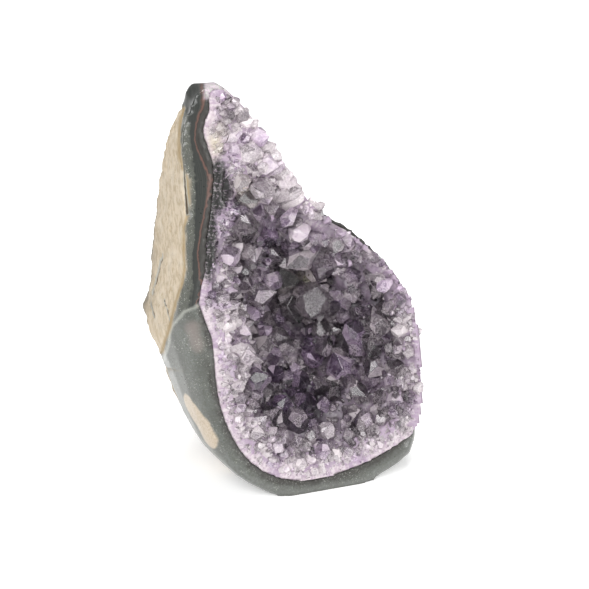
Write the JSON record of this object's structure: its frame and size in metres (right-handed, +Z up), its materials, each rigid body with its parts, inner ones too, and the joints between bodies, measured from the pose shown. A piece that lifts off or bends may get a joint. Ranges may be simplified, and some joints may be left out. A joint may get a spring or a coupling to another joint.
{
  "type": "amethyst geode",
  "caption": "Standing amethyst geode with a flat base: a rock rind with a polished agate rim, sawn open and lined with a crust of amethyst crystals.",
  "frame": {"origin": "middle of the foot of the bounding box, on the surface that the flat base rests on", "axes": "+Z up; the sawn face looks towards -Y and leans back 16 degrees; +X to the right as seen from the front"},
  "size_m": [0.0882, 0.0776, 0.1315],
  "materials": {
    "rock": "rough basalt outside, polished agate on the sawn rim",
    "amethyst": "glossy, slightly see-through crystal faces, with a polished quartz border"
  },
  "bodies": {
    "root": {"rind": "rock", "amethyst_crust": "amethyst"}
  },
  "joints": []
}
